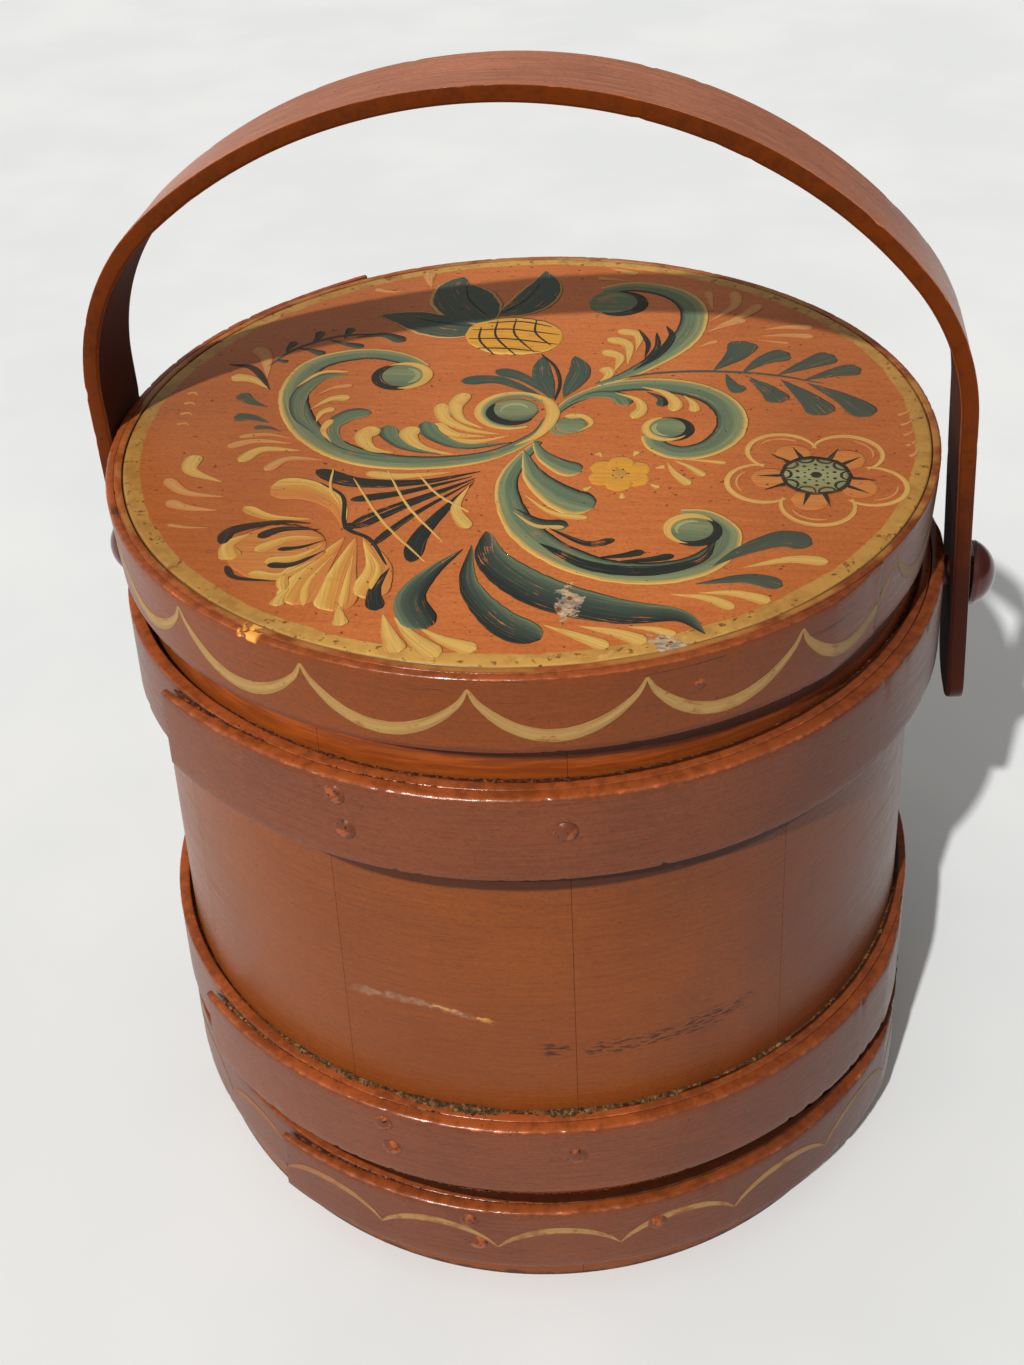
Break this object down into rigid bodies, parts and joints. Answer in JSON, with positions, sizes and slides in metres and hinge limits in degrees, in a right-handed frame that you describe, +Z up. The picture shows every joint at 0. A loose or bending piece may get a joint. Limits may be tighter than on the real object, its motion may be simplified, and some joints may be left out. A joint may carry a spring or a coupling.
{
  "type": "salt box",
  "caption": "Round staved wooden salt box with bent wood hoops, a flat rimmed lid that lifts off and a strap bail handle that swings on two pegs.",
  "frame": {"origin": "centre of the foot, on the surface that the bucket stands on", "axes": "+Z up, X along the line of the two pegs, -Y towards the side that the picture shows"},
  "size_m": [0.2858, 0.2774, 0.354],
  "materials": {
    "painted_staves": "worn oil paint, satin",
    "painted_hoops": "worn oil paint, satin",
    "painted_lid": "worn oil paint with folk ornament, satin",
    "painted_rim": "worn oil paint, satin",
    "painted_strap": "worn oil paint, satin",
    "painted_nails": "painted over",
    "varnished_pegs": "dark glossy varnish",
    "bare_wood": "bare, aged"
  },
  "bodies": {
    "bucket": {"stave_01": "painted_staves", "stave_02": "painted_staves", "stave_03": "painted_staves", "stave_04": "painted_staves", "stave_05": "painted_staves", "stave_06": "painted_staves", "stave_07": "painted_staves", "stave_08": "painted_staves", "stave_09": "painted_staves", "stave_10": "painted_staves", "stave_11": "painted_staves", "stave_12": "painted_staves", "bottom_board": "bare_wood", "top_hoop": "painted_hoops", "middle_hoop": "painted_hoops", "bottom_hoop": "painted_hoops", "top_hoop_nails": "painted_nails", "middle_hoop_nails": "painted_nails", "bottom_hoop_nails": "painted_nails", "left_peg": "varnished_pegs", "right_peg": "varnished_pegs"},
    "lid": {"lid_board": "painted_lid", "lid_rim": "painted_rim", "lid_rim_nails": "painted_nails"},
    "bail": {"bail_handle": "painted_strap"}
  },
  "joints": [
    {"name": "bail_swing", "type": "hinge", "parent": "bucket", "child": "bail", "pos_m": [0, 0, 0.2015], "axis": [1, 0, 0], "range_deg": [-112, 112]},
    {"name": "lid_lift", "type": "slide", "parent": "bucket", "child": "lid", "axis": [0, 0, 1], "range_m": [0, 0.0116]}
  ]
}
